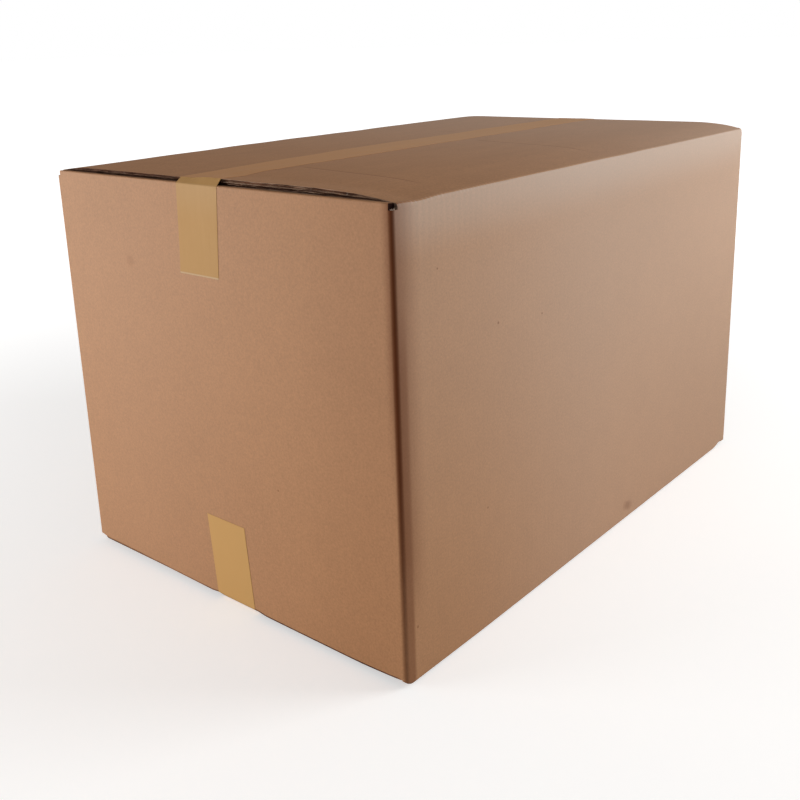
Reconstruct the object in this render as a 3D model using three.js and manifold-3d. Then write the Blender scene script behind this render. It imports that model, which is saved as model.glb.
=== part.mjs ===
// A closed shipping box of double wall corrugated board, taped along its top and bottom seams.
// The carton is one die-cut blank: four panels, eight flaps and a lap tab, folded on its scores.
// Millimetres: +X along the length, +Y along the width, +Z up. The origin is on the surface that
// the box stands on, under its middle.
import * as THREE from "three";
import { mergeVertices } from "three/addons/utils/BufferGeometryUtils.js";
import Module from "manifold-3d";

const wasm = await Module();
wasm.setup();

// The box outside
const boxLength = 600;
const boxWidth = 400;
const cartonHeight = 378.5; // face of the bottom flaps to face of the top flaps

// The board, from its outer face inwards: liner, small flute, liner, large flute, liner
const liner = 0.4;
const smallFlute = 2.3;
const largeFlute = 3.0;
const board = 3 * liner + smallFlute + largeFlute;
const layGap = 0.3; // between layers of the blank that lie on each other

// Folds
const cornerRadius = 4; // outside, on the upright folds
const foldRadius = 3.5; // outside, on the flaps' folds
const sideFoldStep = 1.2; // the side panels' top fold above the end panels' top fold
const riseWidth = 80; // a top outer flap climbs from its crushed fold to full thickness over this

// Flaps
const seamGap = 1; // between the free edges of two outer flaps
const outerFlapInset = 6.5; // an outer flap's raw side edge, in from the end panel's face
const innerFlapInset = 3.1; // an inner flap's side edge at its fold, in from the side panel's face
const innerFlapClearance = 0.4; // an inner flap's side edge to the side panel's inner face
const topSlotDepth = 4; // a top slot's end below the end panel's fold
const bottomSlotHeight = 5.5; // a bottom slot's end above the bottom flaps' face
const channelDepth = 2.5; // how deep the opened flutes run in from a raw edge
const channelStart = 10; // where they start, in from the side panel's face

// The glued lap at one corner
const tabWidth = 38;
const tabTaper = 12;
const lapSetback = 1.5; // the lapping panel's raw edge, back from the end panel's face

// Tape
const tapeWidth = 48;
const tapeThickness = 0.2;
const tapeGap = 0.3; // tape to board
const topTabLength = 74; // down each end panel from its fold
const bottomTabLength = 75;
const topTapeShift = 5; // off the middle of the width
const topTabLean = 5; // how far the front tab drifts towards +Y from the fold to its end
const bottomTapeShift = -6;
const bottomTabLean = 6;

// Levels and faces that follow from them
const halfLength = boxLength / 2;
const halfWidth = boxWidth / 2;
const flapDepth = (boxWidth - seamGap) / 2; // every flap, from its fold's face to its free edge
const bottomFace = tapeThickness + tapeGap;
const topFace = bottomFace + cartonHeight;
const endFoldTop = topFace - board - layGap;
const endFoldBottom = bottomFace + board + layGap;
const sideFoldTop = endFoldTop + sideFoldStep;
const wallTop = endFoldTop - topSlotDepth;
const wallBottom = bottomFace + bottomSlotHeight;
const tabFace = halfWidth - board - layGap;
const outerFlapEdge = halfLength - outerFlapInset;
const over = 1; // how far a cutting or joining solid runs past the face it meets

// Solids

function solidOf(geometry) {
  geometry.deleteAttribute("normal");
  geometry.deleteAttribute("uv");
  const merged = mergeVertices(geometry, 1e-4);
  return new wasm.Manifold(
    new wasm.Mesh({
      numProp: 3,
      vertProperties: merged.attributes.position.array,
      triVerts: new Uint32Array(merged.index.array),
    }),
  );
}

// An outline drawn on the two other axes, in the order X, Y, Z, and extruded along axis.
function extruded(outline, axis, from, to) {
  const shape = new THREE.Shape(outline.map(([a, b]) => new THREE.Vector2(a, b)));
  const geometry = new THREE.ExtrudeGeometry(shape, { depth: to - from, bevelEnabled: false });
  if (axis === "x") {
    const onYZ = new THREE.Matrix4().makeBasis(
      new THREE.Vector3(0, 1, 0),
      new THREE.Vector3(0, 0, 1),
      new THREE.Vector3(1, 0, 0),
    );
    return geometry.applyMatrix4(onYZ).translate(from, 0, 0);
  }
  if (axis === "y") return geometry.rotateX(Math.PI / 2).translate(0, to, 0);
  return geometry.translate(0, 0, from);
}

function prism(outline, axis, from, to) {
  return solidOf(extruded(outline, axis, from, to));
}

function rectangle(a0, b0, a1, b1) {
  return [
    [a0, b0],
    [a1, b0],
    [a1, b1],
    [a0, b1],
  ];
}

// Points round a corner, from angle start to angle end in quarter turns about the centre.
function arc(centreA, centreB, radius, start, end) {
  const points = new THREE.EllipseCurve(
    centreA,
    centreB,
    radius,
    radius,
    (start * Math.PI) / 2,
    (end * Math.PI) / 2,
    end < start,
  ).getPoints(6);
  return points.map((p) => [p.x, p.y]);
}

// The four walls, seen from above, as the blank goes round: from the lapping panel's raw edge,
// round three folds and a fourth into the lap tab, and back along the inside.
function wallOutline() {
  const r = cornerRadius;
  const outside = [
    [halfLength - lapSetback, halfWidth],
    ...arc(-halfLength + r, halfWidth - r, r, 1, 2),
    ...arc(-halfLength + r, -halfWidth + r, r, 2, 3),
    ...arc(halfLength - r, -halfWidth + r, r, 3, 4),
    ...arc(halfLength - r, tabFace - r, r, 0, 1),
    [halfLength - tabWidth, tabFace],
  ];
  const inside = [
    [halfLength - tabWidth, tabFace - board],
    [halfLength - board, tabFace - board],
    [halfLength - board, -halfWidth + board],
    [-halfLength + board, -halfWidth + board],
    [-halfLength + board, halfWidth - board],
    [halfLength - lapSetback, halfWidth - board],
  ];
  return [...outside, ...inside];
}

// The lap tab is shorter than the panels, with slanted ends, so it clears the inner flaps.
function tabRelief() {
  const tip = halfLength - tabWidth - over;
  const root = halfLength - board;
  const highRoot = endFoldTop - board - 2 * layGap;
  const lowRoot = endFoldBottom + board + 2 * layGap;
  const high = [
    [root, highRoot],
    [tip, highRoot - tabTaper],
    [tip, wallTop + over],
    [root, wallTop + over],
  ];
  const low = [
    [root, lowRoot],
    [tip, lowRoot + tabTaper],
    [tip, wallBottom - over],
    [root, wallBottom - over],
  ];
  const from = tabFace - board - over;
  const to = tabFace + layGap / 2;
  return prism(high, "y", from, to).add(prism(low, "y", from, to));
}

// Height of a top outer flap's face at distance d in from the side panel's face.
function topFlapFace(d) {
  const share = THREE.MathUtils.clamp((d - foldRadius) / (riseWidth - foldRadius), 0, 1);
  return sideFoldTop + (topFace - sideFoldTop) * (1 - (1 - share) ** 3);
}

// Distances in from the side panel's face at which the climb of a top outer flap is drawn.
function climbSteps(from) {
  const count = 10;
  const steps = Array.from(
    { length: count + 1 },
    (_, i) => foldRadius + ((riseWidth - foldRadius) * i) / count,
  );
  return [from, ...steps.filter((d) => d > from), flapDepth];
}

// A panel's edge and the flap that folds in from it, as [distance in, height] points.
// up is 1 at the top of the box and -1 at the bottom. face is the flap's outer surface.
function foldedFlap(root, fold, up, face) {
  const r = foldRadius;
  const turn = up > 0 ? arc(r, fold - r, r, 2, 1) : arc(r, fold + r, r, 2, 3);
  const under = face(flapDepth) - up * board;
  return [
    [0, root],
    ...turn,
    ...climbSteps(r + over).map((d) => [d, face(d)]),
    [flapDepth, under],
    [board, under],
    [board, root],
  ];
}

const flat = (level) => () => level;

// Both outer flaps of one side panel, side -1 or 1 along Y.
function outerFlaps(side) {
  const place = ([d, z]) => [side * (halfWidth - d), z];
  const top = foldedFlap(wallTop - over, sideFoldTop, 1, topFlapFace).map(place);
  const bottom = foldedFlap(endFoldBottom + foldRadius + over, bottomFace, -1, flat(bottomFace));
  return prism(top, "x", -outerFlapEdge, outerFlapEdge).add(
    prism(bottom.map(place), "x", -outerFlapEdge, outerFlapEdge),
  );
}

// How far an inner flap reaches along Y: at its fold, and past the end panel's thickness.
function innerFlapReach(end, side) {
  const atLap = end > 0 && side > 0;
  const atFold = (atLap ? tabFace : halfWidth) - innerFlapInset;
  return { atFold, inside: Math.min(atFold, halfWidth - board - innerFlapClearance) };
}

// Both inner flaps of one end panel, end -1 or 1 along X, with their side edges cut to shape.
function innerFlaps(end) {
  const place = ([d, z]) => [end * (halfLength - d), z];
  const top = foldedFlap(wallTop - over, endFoldTop, 1, flat(endFoldTop)).map(place);
  const bottomRoot = endFoldBottom + foldRadius + over;
  const bottom = foldedFlap(bottomRoot, endFoldBottom, -1, flat(endFoldBottom)).map(place);
  const left = innerFlapReach(end, -1);
  const right = innerFlapReach(end, 1);
  const plan = [
    [end * (halfLength + over), -left.atFold],
    [end * halfLength, -left.atFold],
    [end * (halfLength - board), -left.inside],
    [end * (halfLength - flapDepth - over), -left.inside],
    [end * (halfLength - flapDepth - over), right.inside],
    [end * (halfLength - board), right.inside],
    [end * halfLength, right.atFold],
    [end * (halfLength + over), right.atFold],
  ];
  return prism(top, "y", -halfWidth, halfWidth)
    .add(prism(bottom, "y", -halfWidth, halfWidth))
    .intersect(prism(plan, "z", 0, topFace));
}

// Clears the wall below the end panel's bottom fold, between the two slots.
function endRelief(end) {
  const low = -innerFlapReach(end, -1).atFold;
  const high = innerFlapReach(end, 1).atFold;
  const inner = end * (halfLength - board - over);
  const outer = end * (halfLength + over);
  const foot = endFoldBottom + foldRadius;
  return prism(rectangle(inner, low, outer, high), "z", wallBottom - over, foot);
}

// The two flute channels that a raw edge opens, as shares of the board's thickness.
const channels = [
  [liner / board, (liner + smallFlute) / board],
  [(2 * liner + smallFlute) / board, (board - liner) / board],
];

// The channels along both raw edges of one side's outer flaps.
function flapChannels(side) {
  const cuts = [];
  for (const [near, far] of channels) {
    const topBack = topFace - board;
    const topAt = (d, share) => topFlapFace(d) - (topFlapFace(d) - topBack) * share;
    const bottomAt = (d, share) => bottomFace + board * share;
    for (const at of [topAt, bottomAt]) {
      const steps = climbSteps(channelStart);
      const outline = [
        ...steps.map((d) => [d, at(d, near)]),
        ...steps.reverse().map((d) => [d, at(d, far)]),
      ].map(([d, z]) => [side * (halfWidth - d), z]);
      cuts.push(prism(outline, "x", outerFlapEdge - channelDepth, outerFlapEdge + over));
      cuts.push(prism(outline, "x", -outerFlapEdge - over, -outerFlapEdge + channelDepth));
    }
  }
  return cuts;
}

// The channels along the lapping panel's upright raw edge.
function lapChannels() {
  const edge = halfLength - lapSetback;
  return channels.map(([near, far]) => {
    const y0 = halfWidth - board * far;
    const y1 = halfWidth - board * near;
    return prism(rectangle(edge - channelDepth, y0, edge + over, y1), "z", 0, topFace);
  });
}

function cartonBlank() {
  let blank = prism(wallOutline(), "z", wallBottom, wallTop).subtract(tabRelief());
  for (const way of [-1, 1]) blank = blank.subtract(endRelief(way));
  for (const way of [-1, 1]) blank = blank.add(outerFlaps(way)).add(innerFlaps(way));
  for (const way of [-1, 1]) {
    for (const cut of flapChannels(way)) blank = blank.subtract(cut);
  }
  for (const cut of lapChannels()) blank = blank.subtract(cut);
  return blank;
}

// A strip of tape as a closed outline: the line of its inner face, and the same line moved out
// by the thickness, mitred at each bend.
function stripOutline(inner) {
  const points = inner.map(([a, b]) => new THREE.Vector2(a, b));
  const normals = points.slice(1).map((p, i) => {
    const along = p.clone().sub(points[i]).normalize();
    return new THREE.Vector2(-along.y, along.x);
  });
  const outer = points.map((p, i) => {
    const before = normals[Math.max(i - 1, 0)];
    const after = normals[Math.min(i, normals.length - 1)];
    const mitre = before.clone().add(after).normalize();
    return p.clone().addScaledVector(mitre, tapeThickness / mitre.dot(after));
  });
  return [...inner, ...outer.reverse().map((p) => [p.x, p.y])];
}

// One tape: along a seam, over the raw flap edges and onto both end panels. up is 1 at the top.
function tape(up, tabLength, shift, lean) {
  const fold = up > 0 ? endFoldTop : endFoldBottom;
  const seam = (up > 0 ? topFace : bottomFace) + up * tapeGap;
  const panel = halfLength + tapeGap;
  const touch = fold - up * foldRadius * 0.5;
  const tip = fold - up * tabLength;
  const half = [
    [panel, tip],
    [panel, touch],
    [outerFlapEdge + tapeGap, seam],
  ];
  const line = [...half.map(([x, z]) => [-x, z]), ...half.reverse()];
  const outline = stripOutline(up > 0 ? line : line.reverse());
  const from = shift - tapeWidth / 2;
  const strip = extruded(outline, "y", from, from + tapeWidth);
  leanFrontTab(strip.attributes.position, fold, up, lean / tabLength);
  return strip;
}

// Slants the tab on the -X end panel: each point moves along Y by its distance past the fold.
function leanFrontTab(position, fold, up, slope) {
  for (let i = 0; i < position.count; i += 1) {
    const past = up * (fold - position.getZ(i));
    if (position.getX(i) < -halfLength && past > 0) {
      position.setY(i, position.getY(i) + slope * past);
    }
  }
}

// Scene

function geometryOf(solid) {
  const { vertProperties, triVerts } = solid.getMesh();
  const geometry = new THREE.BufferGeometry();
  geometry.setAttribute("position", new THREE.BufferAttribute(vertProperties, 3));
  geometry.setIndex(new THREE.BufferAttribute(triVerts, 1));
  return geometry.toNonIndexed();
}

function meshOf(name, geometry, color, roughness) {
  geometry.computeVertexNormals();
  const material = new THREE.MeshStandardMaterial({ color, roughness, metalness: 0 });
  const mesh = new THREE.Mesh(geometry, material);
  mesh.name = name;
  return mesh;
}

const carton = geometryOf(cartonBlank());
const topTape = tape(1, topTabLength, topTapeShift, topTabLean);
const bottomTape = tape(-1, bottomTabLength, bottomTapeShift, bottomTabLean);

const box = new THREE.Group();
box.add(meshOf("carton_blank", carton, 0xb08767, 0.85));
box.add(meshOf("top_tape", topTape, 0xbf986d, 0.5));
box.add(meshOf("bottom_tape", bottomTape, 0xbf9463, 0.5));

export default box;
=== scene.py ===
import math

import bpy
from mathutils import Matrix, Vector, noise


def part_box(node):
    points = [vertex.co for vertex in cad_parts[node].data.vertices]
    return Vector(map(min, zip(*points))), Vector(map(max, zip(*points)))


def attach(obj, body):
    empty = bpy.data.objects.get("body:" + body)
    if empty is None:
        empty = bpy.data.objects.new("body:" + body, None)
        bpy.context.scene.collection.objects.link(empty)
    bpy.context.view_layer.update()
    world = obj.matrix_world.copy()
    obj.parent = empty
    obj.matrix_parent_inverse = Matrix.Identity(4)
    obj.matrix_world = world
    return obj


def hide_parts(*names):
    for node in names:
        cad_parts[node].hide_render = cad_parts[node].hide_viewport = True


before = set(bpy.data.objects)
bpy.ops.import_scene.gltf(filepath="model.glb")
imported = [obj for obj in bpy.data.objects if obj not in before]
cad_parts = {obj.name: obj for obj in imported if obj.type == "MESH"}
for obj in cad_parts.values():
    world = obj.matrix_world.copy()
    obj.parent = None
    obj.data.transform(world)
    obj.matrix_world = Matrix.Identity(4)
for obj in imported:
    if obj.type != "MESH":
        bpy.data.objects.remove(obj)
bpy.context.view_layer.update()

# A taped shipping box of double wall corrugated board.
# Lengths in the dictionaries are millimetres, colours are 0 to 255 as seen on screen.
mm = 0.001

camera = {
    "place": (-796.3, -624.83, 475.84),
    "turn": (74.4395, 1.7576, -50.2245),  # degrees
    "lens": 44.783,
    "shiftY": -0.10138,
}

studio = {
    "floorSize": 120000,
    "floorTone": (226, 226, 226),
    "floorGlow": (0.5, 0.98),  # how pale it looks by itself, near the box and far from it
    "glowReach": (420, 1900),
    "worldTone": (255, 255, 255),
    "worldSeen": 1.0,  # brightness of the background
    "worldGiven": 0.26,  # the light it gives
}

lamps = {
    # name: place, aims at, size, watts, colour
    "leftLamp": ((-1500, 1000, 180), (-300, 0, 95), 900, 23.4, (255, 253, 250)),
    "rightLamp": ((1180, -1420, 820), (60, -200, 190), 1000, 22.3, (249, 253, 253)),
    "topLamp": ((300, -300, 2300), (0, 0, 380), 1600, 3.6, (255, 236, 220)),
}

carton = {
    "board": 6.5,
    "lay": 0.3,  # gap between layers of the blank
    "cornerRadius": 4,
    "farRadius": 1.2,  # of the upright corner that is furthest from the camera's
    "foldRadius": 2.8,
    "endFoldRadius": 1.2,
    "endFoldRise": 0.8,  # bulge of the end panels' top fold
    "endFoldSag": 3.2,  # sag of their bottom fold, between the corners
    "sagShares": (0.12, 0.62),  # where along the panel the sag is full, from each end
    "farClip": (7, 1.4),  # reach and height of that fold's lift at its far corner
    "rim": 0.7,  # strip of panel beside an end fold
    "flapInset": 6.5,  # an outer flap's raw edge, in from the end panel's face
    "innerInset": (3.1, 5.6),  # an inner flap's edge at its fold, in from each side panel's face
    "bottomInset": 3,  # the near one under the box
    "innerClear": 0.4,
    "farSpread": 4.8,  # of the crushed top fold over the far end panel
    "seam": 1,  # between the free edges of two outer flaps
    "topSlot": 4,  # the slots' ends, below the fold
    "bottomSlot": 9,
    "lapSetback": 1.5,
    "tabWidth": 38,
    "tabRelief": 20,
}

slots = {
    "skin": 0.5,  # paper that stands round the opened flutes
    "deep": 6,
    "scraps": 5,  # torn bits of liner in the near one
    "scrapSize": (0.5, 0.16),
    "scrapTall": (1.7, 0.6),  # height, and how much it varies
}

# A climbing top flap: its rise above the fold and the distance in which it gets there,
# at the end that faces the camera and at the far end.
topFlaps = {
    -1: {"fold": 372.7, "rise": (5.2, 6.15), "reach": (112, 64), "seed": 3.0},
    1: {"fold": 372.9, "rise": (3.4, 5.9), "reach": (70, 66), "seed": 11.0},
}

# The raw edge: its small and its large flutes lie between three liners
edgeLayers = {
    "flutes": ((0.062, 0.415), (0.477, 0.938)),  # shares of the board's thickness
    "rows": (8, 10),  # of faces down each channel
    "depth": (2.4, 3.4),  # how far back the opened flutes go
    "ragged": 0.45,
    "channelStart": 9,  # in from the fold
    "channelGrow": 8,  # length until they are open
}

# Dents and lifts of the near side panel's folds, measured from a corner
bruise = {
    "topDent": (31, 13, 1.1),  # place, half width and depth
    "nearLift": (100, 80, 1.0),  # start, reach and height
    "nearTip": (9, 9, 5.2),
    "farLift": (28, 14, 1.6),
    "farNick": (14, 6, 1.7),  # place, half width and height
    "liftDepth": (10, 40),  # the lifts fade out under the box, from here and over this reach
    "wrap": (30, 23),  # where the bottom flap goes round the corners, and its reach
    "wrapDepth": (5, 4),
}

tape = {
    "width": 48,
    "thickness": 0.18,
    "gap": 0.1,
    "topShift": 5,
    "bottomShift": -6,
    "topTab": 74,
    "bottomTab": 75,
    "topLean": 6,  # drift of the front tab towards +Y, from the fold to its end
    "bottomLean": 6,
    "topBend": -4.3,  # sideways bend of the top strip at its front fold
    "bendReach": 45,
    "stripes": 24,  # faces across
    "follow": 12,  # length of a tab that takes up the fold's bulge
    "kneeShare": 0.3,  # of the way from the tab to the flap, where it leaves the fold
    "kneeTurn": 60,  # degrees that it goes round the fold
    "flare": 0.07,  # widening of one half where the top strip turns down
    "flareReach": 32,
    "seamSlope": 0.09,  # of the film beside the step between the two flaps
    "pull": (31, 9, 1.8),  # half width, reach and height of its dent in the bottom fold
}


# Helpers for modelling

def deselectAll():
    if bpy.context.object and bpy.context.object.mode != "OBJECT":
        bpy.ops.object.mode_set(mode="OBJECT")
    bpy.ops.object.select_all(action="DESELECT")


def makeActive(piece):
    deselectAll()
    piece.select_set(True)
    bpy.context.view_layer.objects.active = piece


def ripple(a, b, size, seed):
    # smooth noise from -1 to 1 with lumps about size mm across
    return noise.noise(Vector((a / size, b / size, seed)))


def clampShare(value):
    return min(max(value, 0.0), 1.0)


def mix(a, b, share):
    return a + (b - a) * share


def spread(low, high, fine, coarse, growth=1.25):
    # places from low to high, closer together near both ends
    ends = []
    step, at = fine, 0.0
    while step < coarse and at + step < (high - low) / 3:
        at += step
        ends.append(at)
        step *= growth
    left = [low] + [low + e for e in ends]
    right = [high - e for e in reversed(ends)] + [high]
    gap = right[0] - left[-1]
    count = max(1, round(gap / coarse))
    middle = [left[-1] + gap * i / count for i in range(1, count)]
    return left + middle + right


boardMaterials = []  # filled further down, in this order
paper, rawBoard, tornFibres, slotHollow, soiledRim = range(5)


def dress(block):
    for material in boardMaterials:
        block.data.materials.append(material)
    return block


def cuboid(name, low, high):
    deselectAll()
    bpy.ops.mesh.primitive_cube_add(size=1)
    block = bpy.context.object
    block.name = block.data.name = name
    block.scale = [(b - a) * mm for a, b in zip(low, high)]
    block.location = [(a + b) / 2 * mm for a, b in zip(low, high)]
    bpy.ops.object.transform_apply(location=True, rotation=True, scale=True)
    return dress(block)


def roundEdges(block, radius, segments, pick):
    # bevels the edges whose middle, in mm, pick says yes to
    makeActive(block)
    bpy.ops.object.mode_set(mode="EDIT")
    bpy.ops.mesh.select_mode(type="EDGE")
    bpy.ops.mesh.select_all(action="DESELECT")
    bpy.ops.object.mode_set(mode="OBJECT")
    points = block.data.vertices
    for edge in block.data.edges:
        a, b = (points[i].co for i in edge.vertices)
        edge.select = pick((a + b) / 2 / mm)
    bpy.ops.object.mode_set(mode="EDIT")
    bpy.ops.mesh.bevel(offset=radius * mm, segments=segments, affect="EDGES")
    bpy.ops.object.mode_set(mode="OBJECT")
    return block


def combine(block, other, how="UNION"):
    # joins or cuts with other, which is used up
    makeActive(block)
    cut = block.modifiers.new("Combine", "BOOLEAN")
    cut.operation = how
    cut.solver = "MANIFOLD"
    cut.object = other
    bpy.ops.object.modifier_apply(modifier=cut.name)
    bpy.data.objects.remove(other)
    return block


def gridBlock(name, cols, rows, layers, place, materialOf=None):
    # A closed block: a grid extruded layer by layer, then each vertex put where place says, in mm.
    # A face takes the material that materialOf gives the number of.
    deselectAll()
    bpy.ops.mesh.primitive_grid_add(x_subdivisions=cols, y_subdivisions=rows, size=1)
    block = bpy.context.object
    block.name = block.data.name = name
    bpy.ops.object.mode_set(mode="EDIT")
    for _ in range(layers):
        bpy.ops.mesh.extrude_region_move(TRANSFORM_OT_translate={"value": (0, 0, -1)})
    bpy.ops.object.mode_set(mode="OBJECT")
    dress(block)
    index = [
        (round((v.co.x + 0.5) * cols), round((v.co.y + 0.5) * rows), round(-v.co.z))
        for v in block.data.vertices
    ]
    for face in block.data.polygons if materialOf else ():
        face.material_index = materialOf([index[i] for i in face.vertices])
    for vertex, at in zip(block.data.vertices, index):
        vertex.co = Vector(place(*at)) * mm
    bpy.ops.object.mode_set(mode="EDIT")
    bpy.ops.mesh.select_all(action="SELECT")
    bpy.ops.mesh.normals_make_consistent(inside=False)
    bpy.ops.object.mode_set(mode="OBJECT")
    return block


# Sizes that follow from the frame

low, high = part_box("carton_blank")
halfLength = high.x / mm
halfWidth = high.y / mm
bottomFace = low.z / mm
topFace = high.z / mm
flapDepth = halfWidth - carton["seam"] / 2
endFoldTop = topFace - carton["board"] - carton["lay"]
endFoldBottom = bottomFace + carton["board"] + carton["lay"]
wallTop = endFoldTop - carton["topSlot"]
wallBottom = bottomFace + carton["bottomSlot"]
flapEdge = halfLength - carton["flapInset"]
tabFace = halfWidth - carton["board"] - carton["lay"]


# The folded board

def foldPoint(s, radius):
    # Point on a fold's outer face at length s past the start of its bend: distance in and
    # height over the fold line. Below 0 it runs down the panel.
    bend = radius * math.pi / 2
    if s <= 0:
        return 0.0, -radius + s
    if s <= bend:
        angle = s / radius
        return radius * (1 - math.cos(angle)), radius * (math.sin(angle) - 1)
    return radius + s - bend, 0.0


def topSkin(x, d, side):
    # height of a top flap's face over its own fold line
    flap = topFlaps[side]
    along = clampShare((x + halfLength) / (2 * halfLength))
    if side > 0:
        along = clampShare(along * 3.2)  # this flap is crushed at its near end only
    rise = mix(*flap["rise"], along)
    reach = mix(*flap["reach"], along)
    share = clampShare((d - carton["foldRadius"]) / (reach - carton["foldRadius"]))
    wave = 0.35 * ripple(x, d, 95, flap["seed"]) + 0.12 * ripple(x, d, 28, flap["seed"] + 5)
    return rise * (1 - (1 - share) ** 3) + wave * share


def foldLine(x, side):
    # height of a side panel's top fold: nearly straight, dented beside the near corner
    flap = topFlaps[side]
    at, half, depth = bruise["topDent"]
    dent = depth * math.exp(-(((x + halfLength - at) / half) ** 2)) if side < 0 else 0.0
    return flap["fold"] + 0.35 * ripple(x, 0, 55, flap["seed"] + 9) - dent


def topLevel(x, d, side):
    return min(foldLine(x, side) + topSkin(x, d, side), topFace - 0.05)


def layerShares():
    # rows down the raw edge, with a step at each liner's face
    shares = [0.0, 0.055]
    for (start, end), count in zip(edgeLayers["flutes"], edgeLayers["rows"]):
        shares += [mix(start + 0.008, end - 0.008, i / count) for i in range(count + 1)]
        shares += [end + 0.008, end + 0.054]
    shares[-1] = 1.0
    return shares


def edgeRecess(t, share, seed):
    # How far the raw edge is cut back at length t and share down the board. The fluted
    # paper shows as thin crumpled lines in two dark channels.
    ragged = edgeLayers["ragged"]
    for (start, end), depth in zip(edgeLayers["flutes"], edgeLayers["depth"]):
        if start < share < end:
            inside = (share - start) / (end - start)
            back = depth * (0.75 + 0.25 * ripple(t, 0, 9, seed + start))
            for turn in range(3):
                where = 0.5 + 0.42 * math.sin(t / (31 - 6 * turn) + seed * 2 + 2.1 * turn + 9 * start)
                where += 0.16 * ripple(t, turn, 7, seed + 20)
                torn = 0.5 + 0.9 * ripple(t, turn * 7, 5, seed + 31)
                near = clampShare(1 - abs(inside - where) / 0.13)
                back -= depth * near * clampShare(1 - max(torn, 0.0) * 0.55)
            return max(back, 0.15)
    return ragged * (0.35 + 0.6 * max(ripple(t, share * 40, 4, seed + 40), -0.4))


def lift(x, name, power=1):
    # one lift of the fold, which grows towards the corner that x is nearest
    start, reach, height = bruise[name]
    return height * clampShare((abs(x) - halfLength + start) / reach) ** power


def sideLift(x):
    # how far the near side's bottom fold is bruised upwards, at either end
    if x < 0:
        return lift(x, "nearLift") + lift(x, "nearTip", 2)
    at, half, nick = bruise["farNick"]
    return lift(x, "farLift") + nick * math.exp(-(((x - halfLength + at) / half) ** 2))


def outerFlap(side, up):
    # one side panel's edge with its outer flap: up is 1 at the top
    radius = carton["foldRadius"]
    board = carton["board"]
    bend = radius * math.pi / 2
    fineX, coarseX, stepD = (1.6, 9, 2.0) if up > 0 else (2.0, 22, 3.0)
    xs = spread(-flapEdge, flapEdge, fineX, coarseX)
    count = round((flapDepth - radius) / stepD)
    ss = [-9.0, -5.0, -2.0] + [bend * i / 6 for i in range(7)]
    ss += [bend + (flapDepth - radius) * i / count for i in range(1, count + 1)]
    shares = layerShares()
    lastCol, lastLayer = len(xs) - 1, len(shares) - 1
    under = endFoldTop + carton["lay"]
    seed = 4.0 * side + 1.7 * up

    def skin(x, s):
        d, h = foldPoint(s, radius)
        if up < 0:
            return d, bottomFace - h
        if s > bend:
            return d, topLevel(x, d, side)
        sink = clampShare(1 + s / 9.0) if s < 0 else 1.0
        base = endFoldTop + 0.5
        return d, base + h + sink * (foldLine(x, side) - base)

    def back(x, s):
        d, z = skin(x, s)
        if s <= bend:
            return board, z + (up * -1.0 if s > 0 else 0.0)
        inner = board + (d - radius) * (flapDepth - board) / (flapDepth - radius)
        if up < 0:
            return inner, bottomFace + board
        return inner, min(under, z - 0.9)

    def place(col, row, layer):
        x, s, share = xs[col], ss[row], shares[layer]
        (d0, z0), (d1, z1) = skin(x, s), back(x, s)
        if up > 0 and side < 0:
            # crushed out over the far end panel beside its fold
            start, reach = bruise["wrap"]
            out = clampShare(1 - max(d0, 0) / 30) * clampShare((x - halfLength + start) / reach)
            x += carton["farSpread"] * out
        d, z = mix(d0, d1, share), mix(z0, z1, share)
        if up < 0 and side < 0:
            # runs on round the lower corners
            corner = carton["cornerRadius" if x < 0 else "farRadius"]
            past = max(corner - d, 0)
            reach = halfLength - corner + math.sqrt(max(corner ** 2 - past ** 2, 0)) - flapEdge
            start, grow = bruise["wrap"]
            depth, fadeOut = bruise["wrapDepth"]
            out = clampShare((abs(x) - halfLength + start) / grow) * clampShare(1 - (d - depth) / fadeOut)
            x += math.copysign((reach - 0.1) * out, x)
            depth, fadeOut = bruise["liftDepth"]
            z += sideLift(x) * clampShare(1 - (d - depth) / fadeOut)
        if col in (0, lastCol) and 0 < layer < lastLayer:
            opened = clampShare((d - edgeLayers["channelStart"]) / edgeLayers["channelGrow"])
            opened *= clampShare((z0 - z1) * up / 4.0)
            end = -1 if col == 0 else 1
            x -= end * edgeRecess(d, share, seed + end) * opened
        return x, side * (halfWidth - d), z

    def materialOf(corners):
        if up < 0 and side < 0 and all(ss[c[1]] < 10 for c in corners):
            return paper  # folded round the corner
        atEnd = all(c[0] == 0 for c in corners) or all(c[0] == lastCol for c in corners)
        return rawBoard if atEnd else paper

    return gridBlock("outerFlap", lastCol, len(ss) - 1, lastLayer, place, materialOf)


def innerEdges(end, up):
    # an inner flap's two side edges at its fold
    near, far = carton["innerInset"]
    near = near if up > 0 else carton["bottomInset"]
    return halfWidth - near, (tabFace if end > 0 else halfWidth) - far


def foldCrest(up, y):
    # height of an end panel's fold: up is 1 at the top
    if up > 0:
        return endFoldTop + carton["endFoldRise"]
    near, far = innerEdges(-1, up)
    share = clampShare((y + near) / (near + far))
    nearFull, farFull = carton["sagShares"]
    sag = carton["endFoldSag"] * clampShare(share / nearFull) ** 0.5 * clampShare((1 - share) / farFull)
    clipReach, clipHeight = carton["farClip"]
    clipped = clipHeight * clampShare(1 - (far - y) / clipReach)
    half, reach, height = tape["pull"]
    pulled = height * clampShare((half - abs(y - tape["bottomShift"])) / reach)
    return endFoldBottom - sag + clipped + pulled


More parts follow.
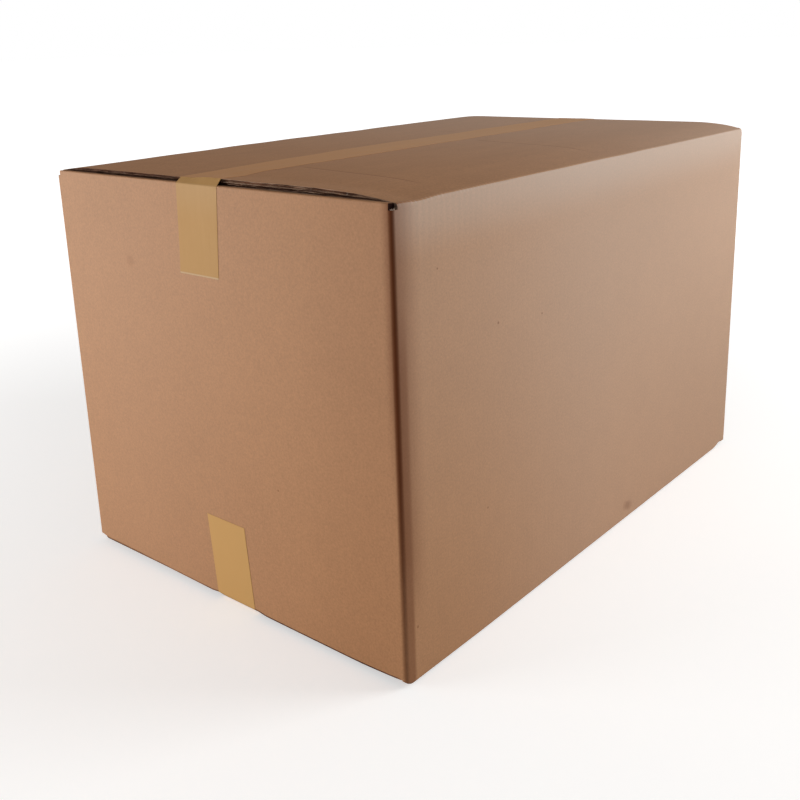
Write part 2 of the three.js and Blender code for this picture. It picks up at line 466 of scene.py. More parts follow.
def endFold(end, up):
    # the crisp fold between an end panel and its inner flap
    nearSide, farSide = innerEdges(end, up)
    radius = carton["endFoldRadius"]
    corner = carton["cornerRadius"]
    inner = halfLength - carton["board"]
    level = endFoldTop if up > 0 else endFoldBottom
    root = wallTop - 1 if up > 0 else wallBottom + 7
    ys = spread(-nearSide, farSide, 1.0, 14)
    turns = [math.pi / 2 * i / 5 for i in range(6)]
    last = len(turns) + 2

    def place(col, row, layer):
        y = ys[col]
        crest = foldCrest(up, y)
        past = max(corner - (y + halfWidth), 0)
        face = halfLength - corner + math.sqrt(corner ** 2 - past ** 2)
        if layer:
            return end * inner, y, root if row == 0 else level - up * (3 - 2 * row / last)
        if row == 0:
            return end * face, y, root
        if row == last:
            return end * (inner + 0.3), y, crest - up * 0.4
        if row == 1:
            return end * face, y, crest - up * (radius + carton["rim"])
        turn = turns[row - 2]
        x = face - radius * (1 - math.cos(turn))
        return end * x, y, crest - up * radius * (1 - math.sin(turn))

    def materialOf(corners):
        if up < 0:
            return soiledRim if all(c[1] > 0 and c[2] == 0 for c in corners) else paper
        # painted shade: the top fold's two ends take the dark slot material
        side = all(c[0] == 0 for c in corners) or all(c[0] == len(ys) - 1 for c in corners)
        return slotHollow if side else paper

    return gridBlock("endFold", len(ys) - 1, last, 1, place, materialOf)


def innerFlap(end, up):
    # an end panel's inner flap with its fold
    board = carton["board"]
    fold = endFoldTop if up > 0 else endFoldBottom
    span = sorted((fold, fold - up * board))
    inside = halfWidth - board - carton["innerClear"]
    reach = min(innerEdges(end, up)[1], inside)
    flapX = sorted((end * (halfLength - 3), end * (halfLength - flapDepth)))
    flap = cuboid("innerFlap", (flapX[0], -inside, span[0]), (flapX[1], reach, span[1]))
    return combine(endFold(end, up), flap)


def lapEdge():
    # the side panel's upright raw edge at the glued lap
    shares = layerShares()
    zs = spread(wallBottom, wallTop, 2.0, 3.0)
    face = halfLength - carton["lapSetback"]
    lastLayer = len(shares) - 1

    def place(col, row, layer):
        x = face if col else face - 12
        if col and 0 < layer < lastLayer:
            x -= edgeRecess(zs[row], shares[layer], 8.0)
        return x, halfWidth - carton["board"] * shares[layer], zs[row]

    def materialOf(corners):
        return rawBoard if all(c[0] for c in corners) else paper

    return gridBlock("lapEdge", 1, len(zs) - 1, lastLayer, place, materialOf)


def walls():
    # four panels round the box, and the tab that the last one is glued to
    board, radius = carton["board"], carton["cornerRadius"]
    lapStart = halfLength - carton["lapSetback"] - 8  # the raw lap edge goes on from here

    def upright(at):
        return abs(at.z - (wallTop + wallBottom) / 2) < 1

    body = cuboid("body", (-halfLength, -halfWidth, wallBottom), (halfLength, tabFace, wallTop))
    roundEdges(body, carton["farRadius"], 5, lambda at: upright(at) and at.x > 0 > at.y)
    roundEdges(body, radius, 8, lambda at: upright(at) and at.x * at.y > 0)
    lapPanel = cuboid("lapPanel", (-halfLength, 0, wallBottom), (lapStart, halfWidth, wallTop))
    roundEdges(lapPanel, radius, 8, lambda at: upright(at) and at.x < 0 and at.y > 1)
    combine(body, lapPanel)
    combine(body, lapEdge())
    inner = (halfLength - board, halfWidth - board)
    room = cuboid("room", (-inner[0], -inner[1], 0), (inner[0], inner[1], 500))
    combine(body, room, "DIFFERENCE")
    tabLow = (halfLength - carton["tabWidth"], tabFace - board, wallBottom + carton["tabRelief"])
    tab = cuboid("tab", tabLow, (inner[0] + 1, inner[1] + 0.2, wallTop - carton["tabRelief"]))
    combine(body, tab)
    return body


def hollowSlots(body):
    # the flutes stand open in the slots' ends at the upper corners
    skin = slots["skin"]

    def atCorner(at):
        return abs(at.z - wallTop + 0.5) < 1 and abs(at.x) > halfLength - 1 and abs(at.y) > halfWidth - 1

    for end, side in ((-1, -1), (1, -1), (-1, 1)):
        x = sorted((end * (halfLength - skin), end * (halfLength - carton["board"] + skin)))
        y = sorted((side * (halfWidth - skin), side * (halfWidth - carton["board"] + skin)))
        hollow = cuboid("hollow", (x[0], y[0], wallTop - slots["deep"]), (x[1], y[1], wallTop + 5))
        roundEdges(hollow, carton["farRadius" if end > 0 else "cornerRadius"] - skin, 6, atCorner)
        # painted shade: the hollow's faces take the dark slot material
        for face in hollow.data.polygons:
            face.material_index = slotHollow
        combine(body, hollow, "DIFFERENCE")


def tornScrap(at, size, lean, seed):
    # a scrap of liner that stands ragged on the slot's end
    deselectAll()
    bpy.ops.mesh.primitive_cube_add(size=1, location=Vector(at) * mm, rotation=lean)
    scrap = dress(bpy.context.object)
    scrap.scale = [side * mm for side in size]
    bpy.ops.object.mode_set(mode="EDIT")
    bpy.ops.mesh.subdivide(number_cuts=3)
    bpy.ops.object.mode_set(mode="OBJECT")
    bpy.ops.object.transform_apply(location=True, rotation=True, scale=True)
    for vertex in scrap.data.vertices:
        upward = max(vertex.co.z / mm - wallTop, 0)
        vertex.co += noise.noise_vector(vertex.co * 900 + Vector((seed, 0, 0))) * 0.22 * upward * mm
    for face in scrap.data.polygons:
        face.material_index = tornFibres
    return scrap


def addTornScraps(body):
    # along the rounded corner of the near slot
    radius = carton["cornerRadius"]
    tall, varies = slots["scrapTall"]
    for i in range(slots["scraps"]):
        share = 0.42 + 0.55 * i / (slots["scraps"] - 1)
        angle = share * math.pi / 2
        x = -halfLength + radius - (radius - 0.35) * math.cos(angle)
        y = -halfWidth + radius - (radius - 0.35) * math.sin(angle)
        height = tall + varies * math.sin(i * 2.3)
        turn = angle + math.pi / 2 + 0.5 * math.sin(i * 5.1)
        lean = (0.25 * math.sin(i * 3.7), 0.3 * math.cos(i * 1.9), turn)
        combine(body, tornScrap((x, y, wallTop + 0.1), (*slots["scrapSize"], height), lean, i * 3.1))


def finishSurface(piece, angle):
    makeActive(piece)
    bpy.ops.object.shade_smooth_by_angle(angle=math.radians(angle))
    even = piece.modifiers.new("Even", "WEIGHTED_NORMAL")
    even.keep_sharp = True
    bpy.ops.object.modifier_apply(modifier=even.name)


def makeCarton():
    box = walls()
    hollowSlots(box)
    addTornScraps(box)
    for way in (-1, 1):
        for up in (-1, 1):
            combine(box, innerFlap(way, up))
            combine(box, outerFlap(way, up))
    box.name = box.data.name = "cartonBlank"
    finishSurface(box, 32)
    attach(box, "root")
    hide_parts("carton_blank")
    print("carton:", sum(len(f.vertices) - 2 for f in box.data.polygons), "triangles")
    return box


# The tapes

def tapeSkin(x, y):
    # the top strip's inner face: on the flaps, and stretched over the step at the seam
    side = -1 if y < 0 else 1
    own = topLevel(x, min(halfWidth - abs(y), flapDepth), side)
    across = -1 if y > 0 else 1
    other = topLevel(x, flapDepth, across) - tape["seamSlope"] * abs(y)
    return max(own, other) + tape["gap"]


def makeTape(name, up, shift, tabLength, lean, material):
    stripes = tape["stripes"]
    fold = endFoldTop if up > 0 else endFoldBottom
    face = halfLength + tape["gap"]
    bend = carton["endFoldRadius"]
    touch = foldCrest(up, shift) - up * bend  # where the tab meets the bend
    kneeTurn = math.radians(tape["kneeTurn"])
    kneeShare = tape["kneeShare"]
    flapEnd = flapEdge + 0.3
    tabs = [mix(fold - up * tabLength, touch, i / 20) for i in range(21)]
    tops = spread(-flapEnd, flapEnd, 1.0, 8)
    bridge = [i / 10 for i in range(1, 10)]
    # stations from tab to tab: part, which end, and height, share or x
    stations = [("tab", -1, z) for z in tabs] + [("bridge", -1, t) for t in bridge]
    stations += [("top", 0, x) for x in tops]
    stations += [("bridge", 1, t) for t in reversed(bridge)] + [("tab", 1, z) for z in reversed(tabs)]
    last = len(stations) - 1

    def level(x, y):
        return tapeSkin(x, y) if up > 0 else bottomFace - tape["gap"]

    def roundFold(end, y, turn):
        out = bend + tape["gap"]
        x = halfLength - bend + out * math.cos(turn)
        return Vector((end * x, foldCrest(up, y) + up * (out * math.sin(turn) - bend)))

    def inner(station, y):
        # the strip's inner face, as x and z
        kind, end, value = station
        if kind == "tab":
            near = clampShare(1 - up * (touch - value) / tape["follow"])
            return Vector((end * face, value + near * (foldCrest(up, y) - up * bend - touch)))
        if kind == "top":
            return Vector((value, level(value, y)))
        if value <= kneeShare:
            return roundFold(end, y, value / kneeShare * kneeTurn)
        edge = Vector((end * flapEnd, level(end * flapEdge, y)))
        return roundFold(end, y, kneeTurn).lerp(edge, (value - kneeShare) / (1 - kneeShare))

    def place(col, row, layer):
        across = (col / stripes - 0.5) * tape["width"]
        if up > 0 and col > stripes / 2:
            # pulled wider where it turns down
            middle = inner(stations[row], shift)
            away = abs(middle.x + face) + 0.6 * max(fold - middle.y, 0)
            across *= 1 + tape["flare"] * clampShare(1 - away / tape["flareReach"])
        y = shift + across
        here = inner(stations[row], y)
        if layer == 0:
            before = inner(stations[max(row - 1, 0)], y)
            after = inner(stations[min(row + 1, last)], y)
            along = (after - before).normalized()
            here = here + Vector((-along.y, along.x)) * up * tape["thickness"]
        kind, end, value = stations[row]
        past = up * (fold - value) if kind == "tab" and end < 0 else 0
        drift = lean / tabLength * max(past, 0)
        if up > 0:
            drift += tape["topBend"] * clampShare(1 - (here.x + halfLength) / tape["bendReach"]) ** 2
        cut = 0.25 * ripple(across, 0, 3, 1.0 + up) if row in (0, last) else 0
        return here.x, y + drift, here.y + cut

    strip = gridBlock(name, stripes, last, 1, place)
    strip.data.materials.clear()
    strip.data.materials.append(material)
    finishSurface(strip, 24)
    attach(strip, "root")
    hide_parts("top_tape" if up > 0 else "bottom_tape")
    print(name + ":", sum(len(f.vertices) - 2 for f in strip.data.polygons), "triangles")
    return strip


# Materials

def linear(tone):
    # screen colour to light
    return tuple((c / 255 / 12.92) if c <= 10 else ((c / 255 + 0.055) / 1.055) ** 2.4 for c in tone)


def addNode(tree, kind, **settings):
    node = tree.nodes.new("ShaderNode" + kind)
    for key, value in settings.items():
        setattr(node, key, value)
    return node


def feed(tree, node, **inputs):
    # sets or links a node's inputs, named with spaces left out, or in0, in1 by number
    for key, value in inputs.items():
        if key.startswith("in") and key[2:].isdigit():
            socket = node.inputs[int(key[2:])]
        else:
            socket = next(s for s in node.inputs if s.name.replace(" ", "") == key and s.enabled)
        if isinstance(value, bpy.types.NodeSocket):
            tree.links.new(value, socket)
        else:
            socket.default_value = value
    return node


def calc(tree, operation, a, b=0.0, c=0.0, clamp=False):
    node = addNode(tree, "Math", operation=operation, use_clamp=clamp)
    return feed(tree, node, in0=a, in1=b, in2=c).outputs[0]


def blend(tree, share, a, b):
    # mixes two colours, each a socket or a tone
    node = addNode(tree, "Mix", data_type="RGBA")
    a, b = (c if isinstance(c, bpy.types.NodeSocket) else (*linear(c), 1) for c in (a, b))
    return feed(tree, node, in0=share, in6=a, in7=b).outputs[2]


def total(tree, base, *pairs, clamp=False):
    # base plus each pair's value times its factor
    for i, (value, factor) in enumerate(pairs, 1):
        base = calc(tree, "MULTIPLY_ADD", value, factor, base, clamp and i == len(pairs))
    return base


def times(tree, *values):
    # the product of all the values
    product = values[0]
    for value in values[1:]:
        product = calc(tree, "MULTIPLY", product, value)
    return product


def ramp(tree, value, start, end, atStart=0.0, atEnd=1.0):
    # smooth step of value from start to end
    node = addNode(tree, "MapRange", interpolation_type="SMOOTHSTEP")
    return feed(tree, node, in0=value, in1=start, in2=end, in3=atStart, in4=atEnd).outputs[0]


def fade(tree, value, start, end, atStart=0.0, atEnd=1.0):
    # the same for a length, with start and end in mm
    return ramp(tree, value, start * mm, end * mm, atStart, atEnd)


def parts(tree, vector):
    return feed(tree, addNode(tree, "SeparateXYZ"), Vector=vector).outputs


def startGroup(name, inputs, outputs):
    # gives the group, its input node and its output node
    group = bpy.data.node_groups.new(name, "ShaderNodeTree")
    for label, kind, value in inputs:
        socket = group.interface.new_socket(label, in_out="INPUT", socket_type="NodeSocket" + kind)
        if value is not None:
            socket.default_value = value
    for label in outputs:
        group.interface.new_socket(label, in_out="OUTPUT", socket_type="NodeSocketFloat")
    return group, group.nodes.new("NodeGroupInput"), group.nodes.new("NodeGroupOutput")


def useGroup(tree, name, **inputs):
    return feed(tree, addNode(tree, "Group", node_tree=groups[name]), **inputs).outputs


def fibres(tree, coords, grain, cloud, scale=None):
    # Grain and Cloud of these sizes in mm, both about 0
    if scale:
        coords = feed(tree, addNode(tree, "Mapping"), Vector=coords, Scale=scale).outputs[0]
    return useGroup(tree, "fibre", Vector=coords, GrainSize=grain, CloudSize=cloud)


def fibreGroup():
    # paper fibres: fine grain and wide cloudy blotches
    inputs = [("Vector", "Vector", None), ("Grain Size", "Float", 1.4), ("Cloud Size", "Float", 26.0)]
    group, start, end = startGroup("kraftFibre", inputs, ("Grain", "Cloud"))
    for label, size, detail in (("Grain", "Grain Size", 5.0), ("Cloud", "Cloud Size", 3.0)):
        scale = calc(group, "DIVIDE", 1000.0, start.outputs[size])
        pattern = addNode(group, "TexNoise", noise_dimensions="3D")
        feed(group, pattern, Vector=start.outputs["Vector"], Scale=scale, Detail=detail, Roughness=0.6)
        centred = calc(group, "SUBTRACT", pattern.outputs[0], 0.5)
        group.links.new(centred, end.inputs[label])
    return group


def fluteGroup():
    # faint lines where the flutes show through a liner, a pitch apart
    inputs = [("Across", "Float", 0.0), ("Pitch", "Float", 7.0), ("Wander", "Float", 0.0)]
    group, start, end = startGroup("fluteLines", inputs, ("Line",))
    turn = calc(group, "DIVIDE", start.outputs["Across"], start.outputs["Pitch"])
    turn = calc(group, "ADD", turn, start.outputs["Wander"])
    wave = calc(group, "SINE", times(group, turn, 2 * math.pi))
    group.links.new(wave, end.inputs["Line"])
    return group


def speckGroup():
    # a soft round mark
    inputs = [("Vector", "Vector", None), ("Centre", "Vector", None), ("Radius", "Float", 1.0)]
    group, start, end = startGroup("speck", inputs, ("Mark",))
    away = addNode(group, "VectorMath", operation="DISTANCE")
    feed(group, away, in0=start.outputs["Vector"], in1=start.outputs["Centre"])
    share = calc(group, "DIVIDE", away.outputs["Value"], start.outputs["Radius"])
    group.links.new(ramp(group, share, 1.0, 0.35), end.inputs["Mark"])
    return group


def creaseGroup():
    # a hairline along the vector's own Y axis, from 0 to its length
    inputs = [("Vector", "Vector", None), ("Length", "Float", 100.0), ("Width", "Float", 0.8)]
    group, start, end = startGroup("crease", inputs, ("Line", "Shade"))
    across, along, _ = parts(group, start.outputs["Vector"])
    away = calc(group, "DIVIDE", calc(group, "ABSOLUTE", across), start.outputs["Width"])
    thin = ramp(group, away, 1.0, 0.2)
    wide = ramp(group, away, 9.0, 0.0)
    early = fade(group, along, 0, 12)
    late = fade(group, calc(group, "SUBTRACT", start.outputs["Length"], along), 0, 30)
    within = times(group, early, late)
    group.links.new(times(group, thin, within), end.inputs["Line"])
    group.links.new(times(group, wide, within), end.inputs["Shade"])
    return group


def newMaterial(name, roughness, specular):
    # gives it with its nodes, its shader and the object's coordinates
    material = bpy.data.materials.new(name)
    material.use_nodes = True
    shader = material.node_tree.nodes["Principled BSDF"]
    shader.inputs["Roughness"].default_value = roughness
    shader.inputs["Specular IOR Level"].default_value = specular
    coords = addNode(material.node_tree, "TexCoord").outputs["Object"]
    return material, material.node_tree, shader, coords


kraft = {
    "tone": (187, 137, 98),
    "paleTone": (230, 222, 214),  # painted sheen, paler than the paper
    # a dark tone: for the painted shade at the near fold and along the creases, and for the specks
    "foldTone": (104, 50, 18),
    # the painted shade along the end panels' bottom fold
    "rimTone": (84, 42, 24),
    "roughness": 0.7,
    "specular": 0.14,
    "bump": 0.25,
    "grain": 0.54,  # how much the fibres vary the tone
    "cloud": 0.1,
    "streak": 0.16,
    "flutePitch": 7.0,
    "fluteShow": (0.034, 0.004),  # flute lines in the tone, which paint the washboard's shade: high beside the near fold, and everywhere
    "foldShade": 0.05,  # darker top beside the near side's fold
    "lowShade": 0.13,  # painted shade, the side darker at its far lower corner
    # painted sheen: shares of the sheen tone on each kind of face
    "sidePale": (0.02, 0.14, 0.12, 0.19),  # all over, away from the near fold, upward, along the top
    "endPale": (0.06, 0.055),  # away from the near fold, upward
    "topPale": (0.02, 0.24),  # at the near end and at the far end
    "hiddenPale": 0.12,
    "tickPitch": 4.3,
    "tick": 0.2,
    "specks": (  # place, radius and strength on the box
        ((49.2, -200, 16.2), 7.0, 0.17),
        ((53.7, -200, 14.7), 6.5, 0.2),
        ((58.2, -200, 13.2), 7.0, 0.17),
        ((-176, -200, 262), 1.6, 0.5),
        ((-112, -200, 255), 1.3, 0.5),
        ((-192, -200, 110), 1.3, 0.5),
        ((-285, -200, 48), 1.6, 0.45),
        ((-252, -200, 320), 1.2, 0.45),
        ((-300, 100, 300), 7.0, 0.12),
        ((-300, -70, 130), 1.3, 0.4),
    ),
    "creases": (  # start, turn in degrees and length on the top
        ((-210.7, -23.1, 379), 172.4, 158),
        ((28.8, -30.7, 379), 169.6, 160),
        ((96.2, 40, 379), 0, 34),
    ),
    "creaseWidth": 0.9,
    "crease": 0.55,
}

# How much painted shade the near upright fold gets
nearFold = {
    "shaded": 0.55,  # on the side panel beside it
    "crushed": (0.16, 0.36),  # a narrower band of painted shade, at its lower end and from the middle down
    "core": 0.85,
    "halo": 0.45,  # on the end panel
    "dull": 0.1,
}


def faceMasks(tree):
    # 1 on the end panels, the flaps, the side panels, and the faces that the photo shows
    facing = parts(tree, addNode(tree, "NewGeometry").outputs["Normal"])
    onEnd = calc(tree, "GREATER_THAN", calc(tree, "ABSOLUTE", facing[0]), 0.7)
    onTop = calc(tree, "GREATER_THAN", calc(tree, "ABSOLUTE", facing[2]), 0.7)
    onSide = calc(tree, "SUBTRACT", 1.0, calc(tree, "ADD", onEnd, onTop), clamp=True)
    hidden = calc(tree, "MAXIMUM", facing[1], times(tree, facing[2], -1.0))
    hidden = calc(tree, "GREATER_THAN", calc(tree, "MAXIMUM", facing[0], hidden), 0.5)
    return onEnd, onTop, onSide, calc(tree, "SUBTRACT", 1.0, hidden)


def boardShade(tree, coords, place, masks, fibre, wide, flute):
    # brightness of the paper: fibres, flutes, streaks along the top, and the darker parts
    x, y, z = place
    _, onTop, onSide, _ = masks
    # the flute lines in the tone paint the washboard's shade, beside the real relief in the bump
    show = times(tree, fade(tree, x, -100, -280), fade(tree, z, 310, 365), onSide)
    beside, everywhere = kraft["fluteShow"]
    streak = fibres(tree, coords, 5.0, 14.0, (0.12, 1.0, 1.0))["Cloud"]
    nearFlap = times(tree, fade(tree, y, -165, -198), onTop)
    # painted shade: the side darker towards its far lower corner
    farLow = times(tree, fade(tree, x, 0, 290), fade(tree, z, 300, 40), onSide)
    return total(
        tree,
        1.0,
        (fibre["Grain"], kraft["grain"]),
        (fibre["Cloud"], kraft["cloud"]),
        (wide["Cloud"], kraft["cloud"]),
        (flute, total(tree, everywhere, (show, beside))),
        (times(tree, streak, onTop), kraft["streak"]),
        (nearFlap, -kraft["foldShade"]),
        (farLow, -kraft["lowShade"]),
    )


def paintedSheenShare(tree, place, masks):
    # painted sheen: paler paper, most of it high on the side panels and away from the near fold
    x, y, z = place
    onEnd, onTop, onSide, seen = masks
    raised = fade(tree, z, 0, 370)
    band = fade(tree, z, 325, 372)
    base, away, upward, along = kraft["sidePale"]
    sidePale = total(tree, base, (fade(tree, x, -300, 0), away), (raised, upward), (band, along))
    away, upward = kraft["endPale"]
    endPale = total(tree, 0.0, (fade(tree, y, -200, 150), away), (raised, upward))
    topPale = fade(tree, x, -300, 300, *kraft["topPale"])
    pale = total(tree, times(tree, sidePale, onSide), (endPale, onEnd), (topPale, onTop))
    # the back, the far end and the underside get an even painted sheen
    hidden = calc(tree, "SUBTRACT", 1.0, seen)
    return total(tree, times(tree, pale, seen), (hidden, kraft["hiddenPale"]))


def foldTicks(tree, place, fibre, wide):
    # painted highlights: light ticks where the near side's top fold pinches the flutes
    x, y, z = place
    pitch = kraft["tickPitch"] * mm
    pinch = useGroup(tree, "flute", Across=x, Pitch=pitch, Wander=wide["Cloud"])["Line"]
    ticks = times(tree, ramp(tree, pinch, 0.1, 0.8), fade(tree, x, -150, -270, 0.1, 1.0))
    ticks = times(tree, ticks, ramp(tree, fibre["Cloud"], -0.12, 0.1, 0.2, 1.0))
    onFold = times(tree, fade(tree, z, 369, 371.2), fade(tree, y, -196, -198.5))
    return times(tree, ticks, onFold, kraft["tick"])


def paintedFoldShade(tree, colour, place, masks):
    # painted shade at the near upright fold: darker board, most of it on the side panel
    x, y, z = place
    fromX = calc(tree, "ADD", x, halfLength * mm)
    fromY = calc(tree, "ADD", y, halfWidth * mm)
    onNear = fade(tree, fromY, 5.5, 0.5)
    shaded = fade(tree, z, 30, 120, 0.0, nearFold["shaded"])
    shaded = times(tree, fade(tree, fromX, 32, 0), shaded, onNear)
    lower, upper = nearFold["crushed"]
    crushed = total(tree, fade(tree, z, 320, 240, 0.0, upper), (fade(tree, z, 100, 50), lower))
    crushed = times(tree, crushed, fade(tree, fromX, 13.5, 9), onNear)
    core = times(tree, fade(tree, fromX, 4.2, 1), fade(tree, fromY, 4.6, 1))
    core = times(tree, core, fade(tree, z, 30, 200, 0.0, nearFold["core"]))
    halo = times(tree, fade(tree, fromY, 11.5, 3), fade(tree, fromX, 3, 0.5))
    halo = times(tree, halo, fade(tree, z, 120, 280, 0.0, nearFold["halo"]))
    # painted shade: the end panel is duller towards the fold
    dull = times(tree, fade(tree, fromY, 120, 10), masks[0], masks[3], nearFold["dull"])
    for share in (shaded, crushed, core, halo, dull):
        colour = blend(tree, share, colour, kraft["foldTone"])
    return colour


def kraftMaterial():
    material, tree, shader, coords = newMaterial("kraftPaper", kraft["roughness"], kraft["specular"])
    place = parts(tree, coords)
    masks = faceMasks(tree)
    onEnd, onTop = masks[:2]
    fibre = fibres(tree, coords, 1.8, 15.0)
    wide = fibres(tree, coords, 7.0, 90.0)

    # flute lines run along Z on the panels and along Y on the outer flaps
    across = times(tree, place[0], calc(tree, "SUBTRACT", 1.0, onEnd))
    across = calc(tree, "ADD", across, times(tree, place[1], onEnd))
    wander = times(tree, wide["Cloud"], 1.2)
    pitch = kraft["flutePitch"] * mm
    flute = useGroup(tree, "flute", Across=across, Pitch=pitch, Wander=wander)["Line"]

    tint = addNode(tree, "VectorMath", operation="SCALE")
    shade = boardShade(tree, coords, place, masks, fibre, wide, flute)
    feed(tree, tint, in0=linear(kraft["tone"]), Scale=shade)
    colour = blend(tree, paintedSheenShare(tree, place, masks), tint.outputs[0], kraft["paleTone"])
    colour = blend(tree, foldTicks(tree, place, fibre, wide), colour, kraft["paleTone"])
    colour = paintedFoldShade(tree, colour, place, masks)

    # specks, and hairline creases with painted shade along them
    for centre, radius, strength in kraft["specks"]:
        speck = {"Centre": Vector(centre) * mm, "Radius": radius * mm}
        mark = useGroup(tree, "speck", Vector=coords, **speck)["Mark"]
        colour = blend(tree, times(tree, mark, strength), colour, kraft["foldTone"])
    height = total(tree, 0.0, (flute, 0.06), (fibre["Grain"], 0.25))
    for start, turn, length in kraft["creases"]:
        local = addNode(tree, "Mapping", vector_type="TEXTURE")
        turned = (0, 0, math.radians(turn))
        feed(tree, local, Vector=coords, Location=Vector(start) * mm, Rotation=turned)
        size = {"Length": length * mm, "Width": kraft["creaseWidth"] * mm}
        crease = useGroup(tree, "crease", Vector=local.outputs[0], **size)
        # painted shade along each crease
        line = times(tree, crease["Line"], onTop, kraft["crease"])
        colour = blend(tree, line, colour, kraft["foldTone"])
        height = total(tree, height, (times(tree, crease["Shade"], onTop), -1.2))
    bump = feed(tree, addNode(tree, "Bump"), Strength=kraft["bump"], Distance=0.6 * mm, Height=height)
    feed(tree, shader, BaseColor=colour, Normal=bump.outputs[0])
    return material


rawEdge = {
    "linerTone": (190, 158, 134),
    "fluteTone": (150, 110, 84),
    # a dark tone: painted shade deep in the flutes, under the box and in the slot hollows, and the edge's
    # streaks
    "deepTone": (70, 38, 24),
    "bandTone": (104, 66, 48),  # the left flap's edge, crushed flat
    "hollowTone": (34, 13, 8),
    "tornTone": (206, 190, 176),
    "crushed": 0.6,
    "streak": 0.75,
    "soiled": 0.75,  # painted shade, under the box
    "bits": 0.8,  # of torn, paler paper
    "gap": 0.35,  # painted shade in the gap over the end panel's fold
}


def rawEdgeMaterial():
    material, tree, shader, coords = newMaterial("rawBoardEdge", 0.85, 0.2)
    x, y, z = parts(tree, coords)
    grain = fibres(tree, coords, 1.1, 9.0)
    # darker the further it is cut back from the flap's edge: the fluted paper's tone, then painted shade
    # deep in the opened flutes
    back = calc(tree, "SUBTRACT", flapEdge * mm, calc(tree, "ABSOLUTE", x))
    back = total(tree, back, (grain["Grain"], 0.9 * mm))
    streak = fibres(tree, coords, 0.8, 3.0, (1.0, 0.14, 1.0))["Cloud"]
    bits = times(tree, ramp(tree, grain["Cloud"], 0.16, 0.2), fade(tree, back, 2.2, 0.8), rawEdge["bits"])
    # painted shade: the gap over the end panel's fold is darkest
    gap = times(tree, fade(tree, z, 374.6, 373.6), fade(tree, z, 360, 370), rawEdge["gap"])
    colour = blend(tree, fade(tree, back, 0.2, 1.0), rawEdge["linerTone"], rawEdge["fluteTone"])
    for share, tone in (
        (fade(tree, back, 1.0, 2.6), "deepTone"),
        (ramp(tree, streak, 0.02, 0.12, 0.0, rawEdge["streak"]), "deepTone"),
        (bits, "tornTone"),
        # painted shade on the raw edges under the box
        (fade(tree, z, 12, 0, 0.0, rawEdge["soiled"]), "deepTone"),
        (fade(tree, y, 10, 50, 0.0, rawEdge["crushed"]), "bandTone"),
        (gap, "hollowTone"),
    ):
        colour = blend(tree, share, colour, rawEdge[tone])
    bump = feed(tree, addNode(tree, "Bump"), Strength=0.5, Distance=0.4 * mm, Height=grain["Grain"])
    feed(tree, shader, BaseColor=colour, Normal=bump.outputs[0])
    return material


def fibreMaterial(name, roughness, specular, sizes, share, tones):
    # fibres in cloudy patches of two tones
    material, tree, shader, coords = newMaterial(name, roughness, specular)
    base, factor = share
    share = total(tree, base, (fibres(tree, coords, *sizes)["Cloud"], factor), clamp=True)
    feed(tree, shader, BaseColor=blend(tree, share, *(rawEdge[tone] for tone in tones)))
    return material


def rimMaterial():
    # painted shade in a thin line along the end panels' bottom fold
    material, tree, shader, coords = newMaterial("soiledRim", kraft["roughness"], kraft["specular"])
    along = parts(tree, coords)[1]
    cloud = fibres(tree, coords, 2.0, 20.0)["Cloud"]
    share = total(tree, fade(tree, along, 60, -20, 0.5, 0.95), (cloud, 1.2), clamp=True)
    share = times(tree, share, fade(tree, along, -197, -188), fade(tree, along, 195, 140))
    feed(tree, shader, BaseColor=blend(tree, share, kraft["tone"], kraft["rimTone"]))
    return material


film = {
    "tone": (191, 147, 91),
    "lightTone": (198, 154, 99),
    "lowTone": (211, 165, 104),  # on the end panels, at the bottom
    "topTone": (209, 149, 94),  # over the darker top
    "paleTone": (226, 222, 206),
    "upperPale": 0.05,  # painted sheen, high on the end panels
    "topPale": (0.05, 0.16),  # painted sheen on the top, at the near end and from the middle on
    "cutPale": 0.28,  # the top strip's cut end, which catches the light
    "roughness": 0.55,
    "specular": 0.16,
    "bump": 0.2,
}


def tapeMaterial():
    material, tree, shader, coords = newMaterial("packingTape", film["roughness"], film["specular"])
    x, _, z = parts(tree, coords)
    streak = fibres(tree, coords, 3.0, 16.0, (0.35, 2.2, 0.35))
    grain = fibres(tree, coords, 1.6, 11.0)
    share = total(tree, 0.4, (streak["Cloud"], 1.2), (grain["Grain"], 0.5), clamp=True)
    colour = blend(tree, share, film["tone"], film["lightTone"])
    colour = blend(tree, fade(tree, z, 280, 60), colour, film["lowTone"])
    # another tone where it lies on the top, and painted sheen on the top and high on the end panels
    onTop = calc(tree, "GREATER_THAN", z, 373.2 * mm)
    inland = calc(tree, "LESS_THAN", calc(tree, "ABSOLUTE", x), 293.6 * mm)
    colour = blend(tree, inland, colour, film["topTone"])
    upper = fade(tree, z, 340, 372, 0.0, film["upperPale"])
    upper = times(tree, upper, calc(tree, "SUBTRACT", 1.0, onTop))
    topPale = times(tree, fade(tree, x, -300, 100, *film["topPale"]), inland)
    colour = blend(tree, total(tree, upper, (topPale, onTop)), colour, film["paleTone"])
    tabEnd = endFoldTop - tape["topTab"]
    cutLine = fade(tree, z, tabEnd + 1.6, tabEnd + 0.6, 0.0, film["cutPale"])
    cutLine = times(tree, cutLine, calc(tree, "GREATER_THAN", z, (tabEnd - 2) * mm))
    colour = blend(tree, cutLine, colour, film["paleTone"])
    height = total(tree, 0.0, (grain["Grain"], 0.2), (grain["Cloud"], 0.5))
    bump = feed(tree, addNode(tree, "Bump"), Strength=film["bump"], Distance=0.4 * mm, Height=height)
    feed(tree, shader, BaseColor=colour, Normal=bump.outputs[0])
    return material


# The stage

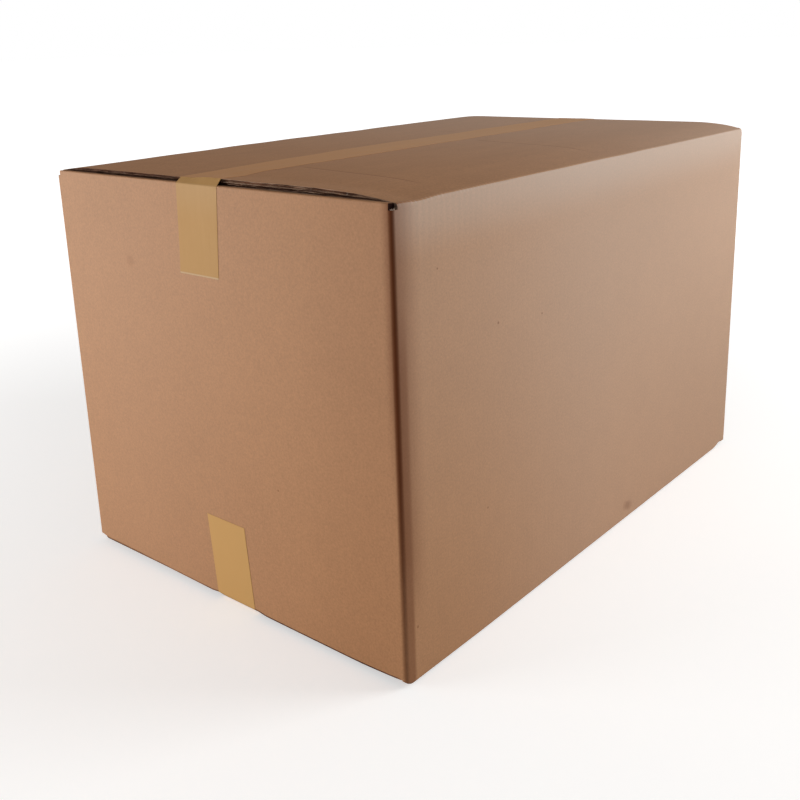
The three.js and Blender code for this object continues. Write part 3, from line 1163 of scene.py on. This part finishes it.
def makeStage():
    world = bpy.data.worlds.new("studio")
    bpy.context.scene.world = world
    world.use_nodes = True
    tree = world.node_tree
    shade = tree.nodes["Background"]
    tone = (*linear(studio["worldTone"]), 1)
    shade.inputs["Color"].default_value = tone
    seen = addNode(tree, "Background")
    feed(tree, seen, Color=tone, Strength=studio["worldSeen"])
    shade.inputs["Strength"].default_value = studio["worldGiven"]
    choose = addNode(tree, "MixShader")
    feed(tree, choose, in0=addNode(tree, "LightPath").outputs["Is Camera Ray"])
    feed(tree, choose, in1=shade.outputs[0], in2=seen.outputs[0])
    tree.links.new(choose.outputs[0], tree.nodes["World Output"].inputs["Surface"])

    deselectAll()
    bpy.ops.mesh.primitive_plane_add(size=studio["floorSize"] * mm)
    floor = bpy.context.object
    floor.name = "floor"
    material, tree, shader, coords = newMaterial("paleFloor", 0.9, 0.1)
    shader.inputs["Base Color"].default_value = (*linear(studio["floorTone"]), 1)
    away = addNode(tree, "VectorMath", operation="LENGTH")
    feed(tree, away, in0=coords)
    reach = [r * mm for r in studio["glowReach"]]
    glow = ramp(tree, away.outputs["Value"], *reach, *studio["floorGlow"])
    glow = times(tree, glow, addNode(tree, "LightPath").outputs["Is Camera Ray"])
    shader.inputs["Emission Color"].default_value = tone
    feed(tree, shader, EmissionStrength=glow)
    floor.data.materials.append(material)


def makeLamps():
    for name, (place, aim, size, watts, tone) in lamps.items():
        deselectAll()
        bpy.ops.object.light_add(type="AREA", location=Vector(place) * mm)
        lamp = bpy.context.object
        lamp.name = name
        lamp.data.size = size * mm
        lamp.data.energy = watts
        lamp.data.color = linear(tone)
        away = Vector(place) - Vector(aim)
        lamp.rotation_euler = away.to_track_quat("Z", "Y").to_euler()


def makeCamera():
    deselectAll()
    turn = [math.radians(a) for a in camera["turn"]]
    bpy.ops.object.camera_add(location=Vector(camera["place"]) * mm, rotation=turn)
    eye = bpy.context.object
    eye.name = "photoCamera"
    eye.data.sensor_width = 36
    eye.data.lens = camera["lens"]
    eye.data.shift_y = camera["shiftY"]
    bpy.context.scene.camera = eye


bpy.context.scene.view_settings.view_transform = "Standard"
makeCamera()
makeStage()
makeLamps()
print("stage, lamps and camera are set")

groups = {"fibre": fibreGroup(), "flute": fluteGroup(), "speck": speckGroup(), "crease": creaseGroup()}
boardMaterials += [
    kraftMaterial(),
    rawEdgeMaterial(),
    fibreMaterial("tornFibres", 0.9, 0.15, (0.5, 1.5), (0.5, 2.0), ("linerTone", "tornTone")),
    # painted shade: a dark material for the hollows
    fibreMaterial("slotHollow", 0.95, 0.1, (0.8, 2.0), (0.0, 1.5), ("hollowTone", "deepTone")),
    rimMaterial(),
]
print("board materials are ready")
makeCarton()
tapeFilm = tapeMaterial()
makeTape("topTape", 1, tape["topShift"], tape["topTab"], tape["topLean"], tapeFilm)
makeTape("bottomTape", -1, tape["bottomShift"], tape["bottomTab"], tape["bottomLean"], tapeFilm)

print("done")
